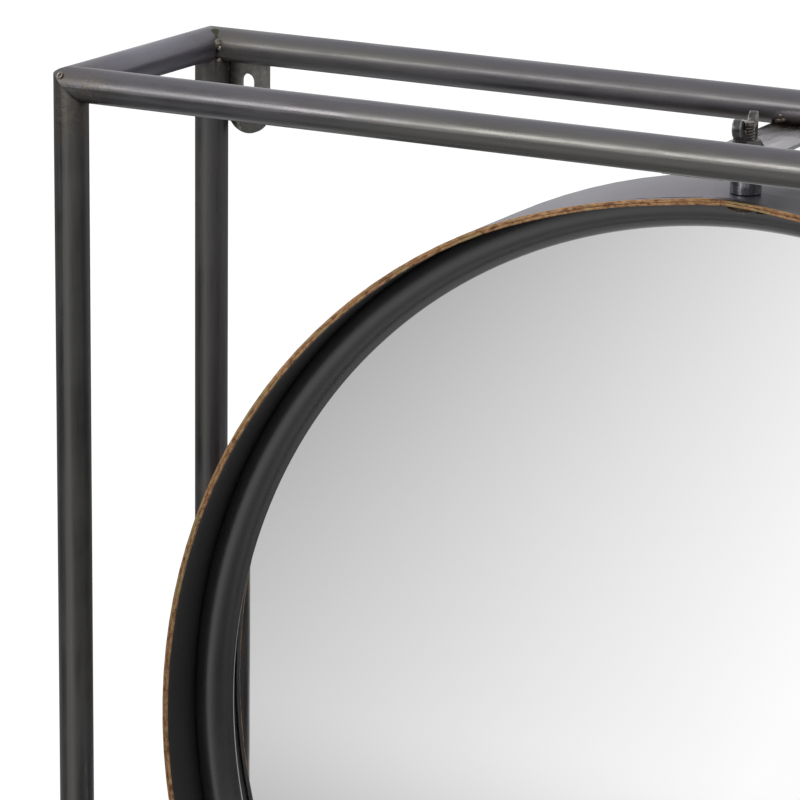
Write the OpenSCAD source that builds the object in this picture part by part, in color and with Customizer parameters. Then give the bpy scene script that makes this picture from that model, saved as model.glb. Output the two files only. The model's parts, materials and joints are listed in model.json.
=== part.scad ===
// Round swivelling mirror in an open box frame of steel tube, for hanging on a wall.
// X runs along the wall, Y runs into the wall, Z is up.
// The origin is midway between the two keyholes, on the plane of the wall.

/* [Mirror drum] */
// Outside diameter of the drum
drum_d = 457.2; // [300:0.1:600]
// Depth of the drum, rim ring included
drum_depth = 48.5; // [46:0.5:56]
// Thickness of the rolled sheet of the drum
drum_wall = 1.5; // [1:0.1:2.5]
// How far the rim stands in front of the pivot line
rim_ahead = 17.35; // [16:0.05:22]
// Width of the rim ring's front face
rim_w = 2.3; // [1.8:0.1:4.5]
// Thickness of the rim ring, front to back
rim_t = 3; // [2:0.1:5]
// Width and depth of the score line round the rim ring
rim_score = 0.2; // [0.1:0.1:0.6]

/* [Bezel and glass] */
// Depth of the bezel's inner lip behind the rim
lip_setback = 21.3; // [19:0.1:24]
// Width of the bezel's rounded face
bezel_w = 12.9; // [8:0.1:20]
// How far the bezel's face bulges forward
bezel_bulge = 1.4; // [0.5:0.1:3]
// Depth of the glass behind the bezel's inner lip
glass_setback = 7.7; // [4:0.1:8]
// Thickness of the mirror glass
glass_t = 4; // [3:0.5:5]
// Thickness of the backing board
board_t = 5; // [3:0.5:6]

/* [Fixings behind the board] */
// How many tabs hold the board
tab_count = 8; // [4:1:12]
// Width of a tab along the drum wall, as an angle
tab_sweep = 4; // [2:0.5:6]
// Thickness of a tab
tab_t = 1.2; // [0.8:0.1:2]
// Reach of a tab over the board
tab_reach = 16; // [12:1:24]
// Distance from the drum's back edge to the end of a tab's leg
tab_inset = 4; // [3:0.5:6]
// Shank diameter of a tab screw
screw_d = 3; // [2:0.1:4]
// Head diameter of a tab screw
screw_head_d = 6.4; // [5:0.1:8]
// Head height of a tab screw
screw_head_h = 2; // [1.5:0.1:3]
// Length of a tab screw under its head
screw_l = 5; // [3:0.5:5.5]

/* [Frame] */
// Outside diameter of the frame tube
tube_d = 13; // [10:0.1:16]
// Wall thickness of the frame tube
tube_wall = 1.2; // [1:0.1:1.5]
// Clear gap between the drum and each side post
side_gap = 12.55; // [8:0.05:30]
// Outside depth of the frame, from the wall to its front
frame_depth = 113; // [100:0.1:150]
// How much is ground off the point of each welded corner
corner_grind = 0.2; // [0.1:0.1:1.2]

/* [Pivot] */
// How far the pivot line stands in front of the middle of the frame
pivot_ahead = 1.45; // [0:0.05:5]
// Thread diameter of the pivot bolts
bolt_d = 5; // [4:0.1:6]
// Length of a bolt's end that stands above the centre line of the rails
stud_rise = 4.2; // [1:0.1:6]
// Diameter of the bolt's round head
head_d = 12.8; // [10:0.1:14]
// Height of the straight part of the bolt's head
head_base = 3.7; // [3:0.1:7]
// Height of the domed part of the bolt's head
head_dome = 2.2; // [1.5:0.1:3]
// Outside diameter of the spacer bush
spacer_d = 11.3; // [10:0.1:16]
// Length of the spacer bush
spacer_l = 14; // [8:0.1:25]
// Width of the strap that carries the pivot
strap_w = 22.8; // [18:0.1:40]
// Thickness of the strap
strap_t = 1.5; // [1.2:0.1:3]
// Drop from the centre line of the rails to the outer face of the strap
strap_drop = 5.8; // [5.8:0.05:6.2]
// Setback of the strap's ends from the centre lines of the rails
strap_setback = 2; // [1:0.1:2.4]
// Outside diameter of the washer under the wing nut
washer_d = 13; // [11:0.1:16]
// Thickness of the washer
washer_t = 1; // [0.8:0.1:1.2]
// Radial clearance of everything that turns or slides on the bolt
bolt_clearance = 0.08; // [0.05:0.01:0.1]

/* [Wing nut] */
// Span of the wings, tip to tip
wing_span = 24; // [20:0.5:30]
// Height of the nut from its seat to the top of the wings
wing_h = 11; // [9:0.1:11]
// Radius of the rounded tip of a wing
wing_tip_r = 3.2; // [2:0.1:4]
// Thickness of a wing
wing_t = 3; // [2:0.1:4]
// Diameter of the nut's boss at its seat
boss_d = 12; // [9:0.1:13]
// Diameter of the nut's boss at its top
boss_top_d = 8.8; // [8:0.1:9]
// Height of the nut's boss
boss_h = 2.8; // [2:0.1:6]
// Turn of the wings from the width of the frame when the nut is tight
wing_turn = 93; // [0:1:180]

/* [Hangers] */
// Width of a hanger plate
hanger_w = 18; // [16:0.05:25]
// Thickness of a hanger plate
hanger_t = 2; // [1.5:0.1:3]
// Distance of the keyhole from the centre line of the post
keyhole_inset = 13.5; // [12:0.05:30]
// Drop from the centre line of the top rail to the keyhole's round hole
keyhole_drop = 26; // [24:0.1:40]
// Diameter of the keyhole's round hole
keyhole_d = 8; // [7:0.1:9]
// Width of the keyhole's slot
slot_w = 5.8; // [4:0.1:6.4]
// Height of the top of the slot above the round hole's centre
slot_rise = 14.5; // [10:0.1:16]
// Distance from the centre line of the top rail to the plate's upper edge
hanger_tuck = 3; // [2.5:0.1:4]

/* [Hidden] */
$fn = 96;
eps = 0.01;           // overlap that keeps a cut clean
fit_gap = 0.15;       // gap between rings that slip into one another
glass_gap = 1;        // gap round the edge of the glass and the board
relief_gap = 0.6;     // gap round the bolt's head in the bezel
edge_break = 0.3;     // chamfer on rims and washers
thread_break = 0.8;   // chamfer on a bolt's end
ring_fn = 240;

tube_r = tube_d / 2;
drum_r = drum_d / 2;
drum_in_r = drum_r - drum_wall;
corner_r = tube_r * sqrt(1.5) - corner_grind;  // the mitres meet at tube_r * sqrt(1.5)
bolt_r = bolt_d / 2;
bore_r = bolt_r + bolt_clearance;
head_r = head_d / 2;
head_h = head_base + head_dome;

post_x = drum_r + side_gap + tube_r;
back_y = -tube_r;
front_y = tube_r - frame_depth;
mid_y = -frame_depth / 2;
pivot_y = mid_y - pivot_ahead;
rim_y = pivot_y - rim_ahead;

rail_z = keyhole_drop;
strap_z = rail_z - strap_drop;
spacer_z = strap_z - strap_t - spacer_l;
drum_z = spacer_z - drum_r;
low_rail_z = 2 * drum_z - rail_z;
head_seat_z = drum_z + sqrt(pow(drum_in_r, 2) - pow(head_r, 2));

rail_l = 2 * post_x;
side_rail_l = back_y - front_y;
post_l = rail_z - low_rail_z;

lip_r = drum_in_r - fit_gap - bezel_w;
glass_r = drum_in_r - glass_gap;
glass_at = lip_setback + glass_setback;
board_at = glass_at + glass_t;
tab_at = board_at + board_t;
tab_leg = drum_depth - tab_at - tab_inset;
tab_r = drum_in_r - fit_gap;
tab_screw_r = tab_r - tab_reach / 2;

keyhole_x = post_x - keyhole_inset;

// ---- Placing ----

// Puts the children behind the rim: their Z is the depth, their origin the drum's axis
module behind_rim(depth = 0) {
    translate([0, rim_y + depth, drum_z]) rotate([-90, 0, 0]) children();
}

// Puts the children on the pivot line at a height
module on_pivot(z) {
    translate([0, pivot_y, z]) children();
}

// Turns an upper piece into its lower twin, across the middle of the drum
module lower_twin() {
    translate([0, 0, 2 * drum_z]) mirror([0, 0, 1]) children();
}

module right_twin() {
    mirror([1, 0, 0]) children();
}

// ---- Frame tubes ----

// Block that cuts both ends of a tube at 45 degrees, to meet a tube that runs towards +Y
module mitre_block(length) {
    reach = tube_r + 1;
    translate([0, 0, -reach])
        linear_extrude(2 * reach)
            polygon([
                [-length / 2 - reach, -reach],
                [length / 2 + reach, -reach],
                [length / 2 - reach, reach],
                [-length / 2 + reach, reach]
            ]);
}

// What grinding takes off past the corner at the +X end
module corner_waste(length) {
    reach = 2 * tube_d;
    difference() {
        translate([length / 2, -reach / 2, -reach / 2]) cube([reach, reach, reach]);
        translate([length / 2, 0, 0]) sphere(r = corner_r);
    }
}

// Tube along X whose ends meet one tube towards +Y and one towards +Z
module mitred_tube(length) {
    stock = length + 2 * tube_d;
    difference() {
        intersection() {
            rotate([0, 90, 0]) cylinder(h = stock, r = tube_r, center = true);
            mitre_block(length);
            rotate([-90, 0, 0]) mirror([0, 1, 0]) mitre_block(length);
        }
        rotate([0, 90, 0]) cylinder(h = stock + 2, r = tube_r - tube_wall, center = true);
        corner_waste(length);
        mirror([1, 0, 0]) corner_waste(length);
    }
}

// Tube across the frame; quarter turns it until its ends face the tubes that it meets
module rail(y, z, quarter) {
    color("#5a5a57") translate([0, y, z]) rotate([90 * quarter, 0, 0]) mitred_tube(rail_l);
}

module post(x, y, quarter) {
    color("#5a5a57")
        translate([x, y, drum_z]) rotate([0, 0, 90 * quarter]) rotate([0, -90, 0])
            mitred_tube(post_l);
}

module side_rail(x, z, quarter) {
    color("#5a5a57")
        translate([x, mid_y, z]) rotate([0, 90 * quarter, 0]) rotate([0, 0, 90])
            mitred_tube(side_rail_l);
}

module front_top_rail() rail(front_y, rail_z, 3);
module front_bottom_rail() rail(front_y, low_rail_z, 0);
module back_top_rail() rail(back_y, rail_z, 2);
module back_bottom_rail() rail(back_y, low_rail_z, 1);
module front_left_post() post(-post_x, front_y, -1);
module front_right_post() post(post_x, front_y, 0);
module back_left_post() post(-post_x, back_y, 2);
module back_right_post() post(post_x, back_y, 1);
module top_left_side_rail() side_rail(-post_x, rail_z, 2);
module top_right_side_rail() side_rail(post_x, rail_z, 3);
module bottom_left_side_rail() side_rail(-post_x, low_rail_z, 1);
module bottom_right_side_rail() side_rail(post_x, low_rail_z, 0);

// ---- Hangers ----

module keyhole() {
    circle(d = keyhole_d);
    translate([-slot_w / 2, 0]) square([slot_w, slot_rise - slot_w / 2]);
    translate([0, slot_rise - slot_w / 2]) circle(d = slot_w);
}

module hanger_outline() {
    circle(d = hanger_w);
    translate([-hanger_w / 2, 0]) square([hanger_w, rail_z - hanger_tuck]);
}

// Plate welded under the back rail, flush with the wall side of the frame
module hanger() {
    color("#4a4947") difference() {
        translate([keyhole_x, 0, 0]) rotate([90, 0, 0]) linear_extrude(hanger_t) difference() {
            hanger_outline();
            keyhole();
        }
        translate([0, back_y, rail_z]) rotate([0, 90, 0])
            cylinder(h = 2 * rail_l, r = tube_r, center = true);
        translate([post_x, back_y, 0]) cylinder(h = 4 * rail_z, r = tube_r, center = true);
    }
}

module right_hanger() hanger();
module left_hanger() right_twin() hanger();

// ---- Pivot ----

// Flat bar between the front and back rails, its ends coped under the tubes
module strap() {
    color("#5a5a57") difference() {
        translate([-strap_w / 2, front_y + strap_setback, strap_z - strap_t])
            cube([strap_w, side_rail_l - 2 * strap_setback, strap_t]);
        for (y = [front_y, back_y])
            translate([0, y, rail_z]) rotate([0, 90, 0])
                cylinder(h = 2 * strap_w, r = tube_r, center = true);
        on_pivot(strap_z) cylinder(h = 4 * strap_t, r = bore_r, center = true);
    }
}

module washer() {
    color("#b9b9b4") on_pivot(strap_z) rotate_extrude() polygon([
        [bore_r, 0],
        [washer_d / 2, 0],
        [washer_d / 2, washer_t - edge_break],
        [washer_d / 2 - edge_break, washer_t],
        [bore_r, washer_t]
    ]);
}

// One wing's outline: X is the distance from the bolt, Y the height above the seat
module wing_outline() {
    tip_x = wing_span / 2 - wing_tip_r;
    tip_y = wing_h - wing_tip_r;
    translate([tip_x, tip_y]) circle(r = wing_tip_r);
    polygon([
        [0, 0.8],
        [boss_d / 2, 0.8],
        [tip_x + wing_tip_r * cos(-30), tip_y + wing_tip_r * sin(-30)],
        [tip_x + wing_tip_r * cos(150), tip_y + wing_tip_r * sin(150)],
        [boss_top_d / 2, boss_h],
        [0, boss_h]
    ]);
}

module wing_nut() {
    color("#6d6963") on_pivot(strap_z + washer_t) rotate([0, 0, wing_turn]) difference() {
        union() {
            cylinder(h = boss_h, d1 = boss_d, d2 = boss_top_d);
            for (side = [0, 180])
                rotate([90, 0, side]) translate([0, 0, -wing_t / 2])
                    linear_extrude(wing_t) wing_outline();
        }
        translate([0, 0, -1]) cylinder(h = wing_h + 2, r = bore_r);
    }
}

module spacer() {
    color("#a3a3a6") on_pivot(spacer_z) rotate_extrude() polygon([
        [bore_r, 0],
        [spacer_d / 2 - edge_break, 0],
        [spacer_d / 2, edge_break],
        [spacer_d / 2, spacer_l],
        [bore_r, spacer_l]
    ]);
}

// Round-headed bolt: head inside the drum, thread up through spacer, strap, washer and nut
module pivot_bolt() {
    dome_r = (pow(head_r, 2) + pow(head_dome, 2)) / (2 * head_dome);
    shank_l = rail_z + stud_rise - head_seat_z;
    color("#77726b") on_pivot(head_seat_z) {
        rotate_extrude() union() {
            polygon([
                [0, -eps],
                [bolt_r, -eps],
                [bolt_r, shank_l - thread_break],
                [bolt_r - thread_break, shank_l],
                [0, shank_l]
            ]);
            translate([0, -head_base]) square([head_r, head_base]);
            intersection() {
                translate([0, dome_r - head_h]) circle(r = dome_r);
                translate([0, -head_h]) square([head_r, head_dome + eps]);
            }
        }
    }
}

module upper_strap() strap();
module lower_strap() lower_twin() strap();
module upper_washer() washer();
module lower_washer() lower_twin() washer();
module upper_wing_nut() wing_nut();
module lower_wing_nut() lower_twin() wing_nut();
module upper_spacer() spacer();
module lower_spacer() lower_twin() spacer();
module upper_pivot_bolt() pivot_bolt();
module lower_pivot_bolt() lower_twin() pivot_bolt();

// ---- Mirror drum ----

module drum_band() {
    color("#8f8f92") difference() {
        behind_rim(rim_t) difference() {
            cylinder(h = drum_depth - rim_t, r = drum_r, $fn = ring_fn);
            translate([0, 0, -1]) cylinder(h = drum_depth, r = drum_in_r, $fn = ring_fn);
        }
        on_pivot(drum_z) cylinder(h = 2 * drum_d, r = bore_r, center = true);
    }
}

// Flat ring on the front edge of the band, with a score line round the middle of its face
module rim_ring() {
    rim_in_r = drum_r - rim_w;
    score_r = drum_r - rim_w / 2;
    color("#9a7446") behind_rim() rotate_extrude($fn = ring_fn) polygon([
        [rim_in_r, edge_break],
        [rim_in_r + edge_break, 0],
        [score_r - rim_score / 2, 0],
        [score_r, rim_score],
        [score_r + rim_score / 2, 0],
        [drum_r - edge_break, 0],
        [drum_r, edge_break],
        [drum_r, rim_t],
        [rim_in_r, rim_t]
    ]);
}

// Ring with a bulging face that covers the edge of the glass
module bezel_ring() {
    half = bezel_w / 2;
    face_r = (pow(half, 2) + pow(bezel_bulge, 2)) / (2 * bezel_bulge);
    color("#3a3a3b") difference() {
        behind_rim(lip_setback) rotate_extrude($fn = ring_fn) intersection() {
            translate([lip_r, -bezel_bulge]) square([bezel_w, glass_setback + bezel_bulge]);
            translate([lip_r + half, face_r - bezel_bulge]) circle(r = face_r);
        }
        for (side = [1, -1])
            on_pivot(drum_z + side * drum_in_r)
                cylinder(h = 2 * (head_h + relief_gap), r = head_r + relief_gap, center = true);
    }
}

module mirror_glass() {
    color("#d5d8d8") behind_rim(glass_at) cylinder(h = glass_t, r = glass_r, $fn = ring_fn);
}

// Repeats the children round the drum, one at the middle of each space
module round_drum() {
    for (i = [0 : tab_count - 1]) rotate([0, 0, (i + 0.5) * 360 / tab_count]) children();
}

module backing_board() {
    color("#a9804f") behind_rim(board_at) difference() {
        cylinder(h = board_t, r = glass_r, $fn = ring_fn);
        round_drum()
            translate([tab_screw_r, 0, -1])
                cylinder(h = board_t + 2, r = screw_d / 2 + bolt_clearance, $fn = 32);
    }
}

// Angle tabs: one leg on the drum wall, the other screwed down on the board
module board_tabs() {
    color("#6f6f70") behind_rim(tab_at) round_drum() difference() {
        rotate([0, 0, -tab_sweep / 2]) rotate_extrude(angle = tab_sweep, $fn = ring_fn) {
            translate([tab_r - tab_reach, 0]) square([tab_reach, tab_t]);
            translate([tab_r - tab_t, 0]) square([tab_t, tab_leg]);
        }
        translate([tab_screw_r, 0, -1])
            cylinder(h = tab_t + 2, r = screw_d / 2 + bolt_clearance, $fn = 32);
    }
}

module tab_screws() {
    color("#b0aea6") behind_rim(tab_at + tab_t) round_drum() translate([tab_screw_r, 0, 0]) {
        translate([0, 0, -screw_l]) cylinder(h = screw_l + eps, d = screw_d, $fn = 32);
        cylinder(h = screw_head_h, d1 = screw_head_d, d2 = screw_head_d * 0.7, $fn = 32);
    }
}

front_top_rail();
front_bottom_rail();
back_top_rail();
back_bottom_rail();
front_left_post();
front_right_post();
back_left_post();
back_right_post();
top_left_side_rail();
top_right_side_rail();
bottom_left_side_rail();
bottom_right_side_rail();
left_hanger();
right_hanger();
upper_strap();
lower_strap();
upper_washer();
lower_washer();
upper_wing_nut();
lower_wing_nut();
upper_spacer();
lower_spacer();
upper_pivot_bolt();
lower_pivot_bolt();
drum_band();
rim_ring();
bezel_ring();
mirror_glass();
backing_board();
board_tabs();
tab_screws();
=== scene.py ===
import bpy
import bmesh
import json
import math
import random
from itertools import combinations, product
from mathutils import Matrix, Vector


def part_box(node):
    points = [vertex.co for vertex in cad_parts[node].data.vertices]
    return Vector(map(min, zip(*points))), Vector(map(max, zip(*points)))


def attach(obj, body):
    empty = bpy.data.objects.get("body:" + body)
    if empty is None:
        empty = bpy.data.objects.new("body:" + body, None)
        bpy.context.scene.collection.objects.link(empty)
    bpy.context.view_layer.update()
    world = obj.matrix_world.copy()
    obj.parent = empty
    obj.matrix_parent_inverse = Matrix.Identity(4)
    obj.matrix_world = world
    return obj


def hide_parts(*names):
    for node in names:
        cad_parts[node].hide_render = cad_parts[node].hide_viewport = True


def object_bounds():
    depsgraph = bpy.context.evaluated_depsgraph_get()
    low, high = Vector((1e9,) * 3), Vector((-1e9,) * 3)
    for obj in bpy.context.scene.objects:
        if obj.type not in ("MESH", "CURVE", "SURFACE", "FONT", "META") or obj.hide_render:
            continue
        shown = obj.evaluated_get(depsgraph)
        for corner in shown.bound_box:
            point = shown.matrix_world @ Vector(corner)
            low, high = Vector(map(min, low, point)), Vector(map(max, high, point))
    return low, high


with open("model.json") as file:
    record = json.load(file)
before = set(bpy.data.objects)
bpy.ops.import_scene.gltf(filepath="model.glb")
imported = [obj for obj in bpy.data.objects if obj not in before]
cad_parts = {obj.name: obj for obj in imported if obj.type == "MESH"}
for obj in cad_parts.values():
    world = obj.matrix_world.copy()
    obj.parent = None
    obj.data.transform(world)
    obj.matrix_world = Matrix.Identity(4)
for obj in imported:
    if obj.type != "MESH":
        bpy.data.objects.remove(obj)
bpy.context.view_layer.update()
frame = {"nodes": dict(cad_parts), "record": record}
bpy.context.scene.view_settings.view_transform = 'Standard'
bpy.ops.object.select_all(action='DESELECT')
chance = random.Random(7)
mm = 0.001

# places taken from the frame, in metres
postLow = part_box("front_left_post")[0]
railLow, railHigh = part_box("front_top_rail")
drumLow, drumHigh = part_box("drum_band")
boltLow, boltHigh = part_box("upper_pivot_bolt")
strapLow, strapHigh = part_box("upper_strap")
plateLow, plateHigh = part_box("right_hanger")
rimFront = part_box("rim_ring")[0].y
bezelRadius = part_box("bezel_ring")[1].x
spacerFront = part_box("upper_spacer")[0].y
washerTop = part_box("upper_washer")[1].z
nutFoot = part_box("upper_wing_nut")[0].z

tubeRadius = (railHigh.y - railLow.y) / 2
postX = -postLow.x - tubeRadius
frontY = (railLow.y + railHigh.y) / 2
backY = -tubeRadius
midY = (frontY + backY) / 2
halfDepth = (backY - frontY) / 2
topZ = (railLow.z + railHigh.z) / 2
drumZ = (drumLow.z + drumHigh.z) / 2
halfHeight = topZ - drumZ
drumRadius = (drumHigh.x - drumLow.x) / 2
pivotY = (boltLow.y + boltHigh.y) / 2
headRadius = (boltHigh.x - boltLow.x) / 2
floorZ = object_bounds()[0].z
print("frame read: posts at", round(postX, 5), "rails at", round(topZ, 5))


# helpers for node trees

def addNode(tree, kind, **settings):
    node = tree.nodes.new(kind)
    row, place = divmod(len(tree.nodes), 8)
    node.location = (place * 220, -row * 320)
    for key, value in settings.items():
        setattr(node, key, value)
    return node


def feed(socket, value):
    # a number or a colour is written into the socket, and an output is linked to it
    if value is None:
        return
    if isinstance(value, (int, float)):
        socket.default_value = value
    elif isinstance(value, tuple):
        socket.default_value = (*value, 1) if len(socket.default_value) == 4 else value
    else:
        socket.id_data.links.new(value, socket)


def feedAll(node, values):
    for key, value in values.items():
        feed(node.inputs[key], value)
    return node


def fedNode(kind, values, **settings):
    # the node joins the tree that its first linked input comes from
    tree = next(value.id_data for value in values.values() if isinstance(value, bpy.types.NodeSocket))
    return feedAll(addNode(tree, kind, **settings), values)


def mathOf(operation, first, second=None):
    return fedNode('ShaderNodeMath', {0: first, 1: second}, operation=operation).outputs[0]


def plus(first, second):
    return mathOf('ADD', first, second)


def minus(first, second):
    return mathOf('SUBTRACT', first, second)


def times(first, second):
    return mathOf('MULTIPLY', first, second)


def sumOf(*parts):
    # each part is a value and its share
    total = None
    for value, share in parts:
        part = times(value, share)
        total = part if total is None else plus(total, part)
    return total


def blendOf(first, second, share):
    # first where the share is 0, second where it is 1
    rest = times(first, minus(1.0, share))
    return plus(rest, times(share, second))


def vectorOf(operation, first, second=None):
    return fedNode('ShaderNodeVectorMath', {0: first, 1: second}, operation=operation).outputs['Value']


def splitOf(vector):
    return fedNode('ShaderNodeSeparateXYZ', {0: vector}).outputs


def joinOf(x, y, z):
    return fedNode('ShaderNodeCombineXYZ', {0: x, 1: y, 2: z}).outputs[0]


def noiseOf(vector, scale, detail, roughness):
    values = {'Vector': vector, 'Scale': scale, 'Detail': detail, 'Roughness': roughness}
    return fedNode('ShaderNodeTexNoise', values).outputs['Fac']


def rangeOf(value, low, high, toLow=0.0, toHigh=1.0, smooth=False):
    way = 'SMOOTHSTEP' if smooth else 'LINEAR'
    values = {'Value': value, 'From Min': low, 'From Max': high, 'To Min': toLow, 'To Max': toHigh}
    return fedNode('ShaderNodeMapRange', values, interpolation_type=way).outputs['Result']


def rampOf(value, *stops):
    node = fedNode('ShaderNodeValToRGB', {'Fac': value})
    elements = node.color_ramp.elements
    while len(elements) < len(stops):
        elements.new(0.5)
    for element, (position, colour) in zip(elements, stops):
        element.position = position
        element.color = (*colour, 1)
    return node.outputs['Color']


def mixOf(share, first, second):
    # a Mix node keeps its colours in inputs 6 and 7 and gives them out at 2
    return fedNode('ShaderNodeMix', {0: share, 6: first, 7: second}, data_type='RGBA').outputs[2]


def bumpOf(height, strength, distance):
    values = {'Height': height, 'Strength': strength, 'Distance': distance}
    return fedNode('ShaderNodeBump', values).outputs['Normal']


def placeOf(tree):
    return addNode(tree, 'ShaderNodeTexCoord').outputs['Object']


def normalOf(tree):
    return addNode(tree, 'ShaderNodeTexCoord').outputs['Normal']


def stretched(vector, scale, shift=(0, 0, 0)):
    values = {'Vector': vector, 'Scale': scale, 'Location': shift}
    return fedNode('ShaderNodeMapping', values).outputs[0]


def mixShaders(share, first, second):
    return fedNode('ShaderNodeMixShader', {'Fac': share, 1: first.outputs[0], 2: second.outputs[0]})


def newMaterial(name):
    material = bpy.data.materials.new(name)
    material.use_nodes = True
    material.node_tree.nodes.clear()
    return material, material.node_tree


def finishMaterial(material, shader):
    fedNode('ShaderNodeOutputMaterial', {'Surface': shader.outputs[0]})
    return material


def finishSurface(material, colour, rough, normal, metallic=1.0, **coating):
    values = {'Base Color': colour, 'Roughness': rough, 'Normal': normal, 'Metallic': metallic, **coating}
    return finishMaterial(material, fedNode('ShaderNodeBsdfPrincipled', values))


def newGroup(name, vectorsIn, valuesOut):
    group = bpy.data.node_groups.new(name, 'ShaderNodeTree')
    for socketName in vectorsIn:
        group.interface.new_socket(socketName, in_out='INPUT', socket_type='NodeSocketVector')
    for socketName in valuesOut:
        group.interface.new_socket(socketName, in_out='OUTPUT', socket_type='NodeSocketFloat')
    return group, addNode(group, 'NodeGroupInput').outputs


def finishGroup(group, values):
    fedNode('NodeGroupOutput', values)
    return group


def useGroup(group, links):
    return fedNode('ShaderNodeGroup', links, node_tree=group).outputs


viewFrom = {
    "azimuth": 28.045,
    "elevation": 15.289,
    "roll": 0.8126,
    "lens": 177.72,
    "sensor": 36,
    "right": 0.7763,     # from the front top left corner of the frame
    "forward": 1.19812,
    "up": 0.27069,
}


def makeCamera():
    cameraData = bpy.data.cameras.new("camera")
    camera = bpy.data.objects.new("camera", cameraData)
    bpy.context.collection.objects.link(camera)
    cameraData.sensor_width = viewFrom["sensor"]
    cameraData.lens = viewFrom["lens"]
    turn = Matrix.Rotation(math.radians(viewFrom["azimuth"]), 4, 'Z')
    tilt = Matrix.Rotation(math.radians(90 - viewFrom["elevation"]), 4, 'X')
    roll = Matrix.Rotation(math.radians(viewFrom["roll"]), 4, 'Z')
    place = (viewFrom["right"] - postX, frontY - viewFrom["forward"], topZ + viewFrom["up"])
    camera.matrix_world = Matrix.Translation(place) @ turn @ tilt @ roll
    bpy.context.scene.camera = camera


makeCamera()
print("camera in place")


studio = {
    "fill": 0.48,              # what the world gives to matt surfaces
    "fillColour": (0.97, 0.97, 1.0),
    "keyPower": 13.5,
    "keySize": (1.0, 0.5),
    "keyAzimuth": -25,
    "keyElevation": 25,
    "keyDistance": 2.3,
    "keyColour": (1.0, 0.985, 0.93),
    "floorSize": 14,
    "floorPaint": (0.9, 0.9, 0.9),
    "floorWhite": 1.12,
    "floorGlow": 0.9,          # how much of the floor's white is its own
}
# what mirrors and metal see of the floor, a painted reflection that glows for them alone, with painted shade
# close under the frame and behind it: levels, and where along X or Y one level gives way to the next
floorShine = {
    "across": (1.1652, -0.2764, 0),      # the way in which the sweep brightens
    "middle": 1.112,
    "least": 0.22,
    "rightFrom": (1.05, 1.6),            # to the right of the drum, along the sweep
    "rightDepth": (-2.1, -0.8),
    "rightLevels": (0.42, 0.085),        # far off, near by
    "underDepth": (-0.7, -0.3),
    "underLevels": (1.0, 0.4),           # in front, close under the frame
    "underEnds": (0.1, 0.6),
    "behindFrom": (-0.32, 0),
    "behindDepth": (0.15, 0.6),
    "behindLevels": (0.8, 0.46),         # close by, further off
    "behindRight": (0.2, 0.9),
    "behindRightLevel": 0.25,
    "aside": (1, -0.53, 0),              # far out at the left
    "asideFrom": (-1.1, -0.45),
    "asideLevels": (0.35, 1.0),
}


def makeWorld():
    world = bpy.data.worlds.new("studio")
    bpy.context.scene.world = world
    world.use_nodes = True
    tree = world.node_tree
    tree.nodes.clear()
    path = addNode(tree, 'ShaderNodeLightPath').outputs
    seen = mathOf('MAXIMUM', path['Is Camera Ray'], path['Is Glossy Ray'])
    seen = mathOf('MAXIMUM', seen, path['Is Transmission Ray'])
    soft = feedAll(addNode(tree, 'ShaderNodeBackground'),
                   {'Color': studio["fillColour"], 'Strength': studio["fill"]})
    white = feedAll(addNode(tree, 'ShaderNodeBackground'), {'Color': (1, 1, 1)})
    mix = mixShaders(seen, soft, white)
    fedNode('ShaderNodeOutputWorld', {'Surface': mix.outputs[0]})


def makeKeyLamp():
    lampData = bpy.data.lights.new("keySoftbox", 'AREA')
    lampData.shape = 'RECTANGLE'
    lampData.size, lampData.size_y = studio["keySize"]
    lampData.energy = studio["keyPower"]
    lampData.color = studio["keyColour"]
    lamp = bpy.data.objects.new("keySoftbox", lampData)
    bpy.context.collection.objects.link(lamp)
    turn = math.radians(studio["keyAzimuth"])
    rise = math.radians(studio["keyElevation"])
    away = Vector((math.sin(turn) * math.cos(rise), -math.cos(turn) * math.cos(rise), math.sin(rise)))
    lamp.location = Vector((0, pivotY, drumZ)) + away * studio["keyDistance"]
    lamp.rotation_mode = 'QUATERNION'
    lamp.rotation_quaternion = away.to_track_quat('Z', 'Y')


def makeFloorShine(tree):
    # a painted reflection: a soft grey sweep that glows only for glossy rays, lightest in front of the drum,
    # with painted shade close under and behind the frame
    shine = floorShine
    place = placeOf(tree)
    spots = splitOf(place)

    def fade(value, reach, levels=(0.0, 1.0)):
        return rangeOf(value, *reach, *levels, smooth=True)

    sweep = plus(vectorOf('DOT_PRODUCT', place, shine["across"]), shine["middle"])
    level = rangeOf(sweep, shine["least"], 1.0, shine["least"], 1.0)
    right = fade(spots['Y'], shine["rightDepth"], shine["rightLevels"])
    level = blendOf(level, right, fade(sweep, shine["rightFrom"]))
    under = fade(spots['Y'], shine["underDepth"], shine["underLevels"])
    level = times(level, blendOf(under, 1.0, fade(spots['X'], shine["underEnds"])))
    behind = fade(spots['Y'], shine["behindDepth"], shine["behindLevels"])
    behind = blendOf(behind, shine["behindRightLevel"], fade(spots['X'], shine["behindRight"]))
    level = blendOf(level, behind, fade(spots['Y'], shine["behindFrom"]))
    aside = vectorOf('DOT_PRODUCT', place, shine["aside"])
    return times(level, fade(aside, shine["asideFrom"], shine["asideLevels"]))


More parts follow.
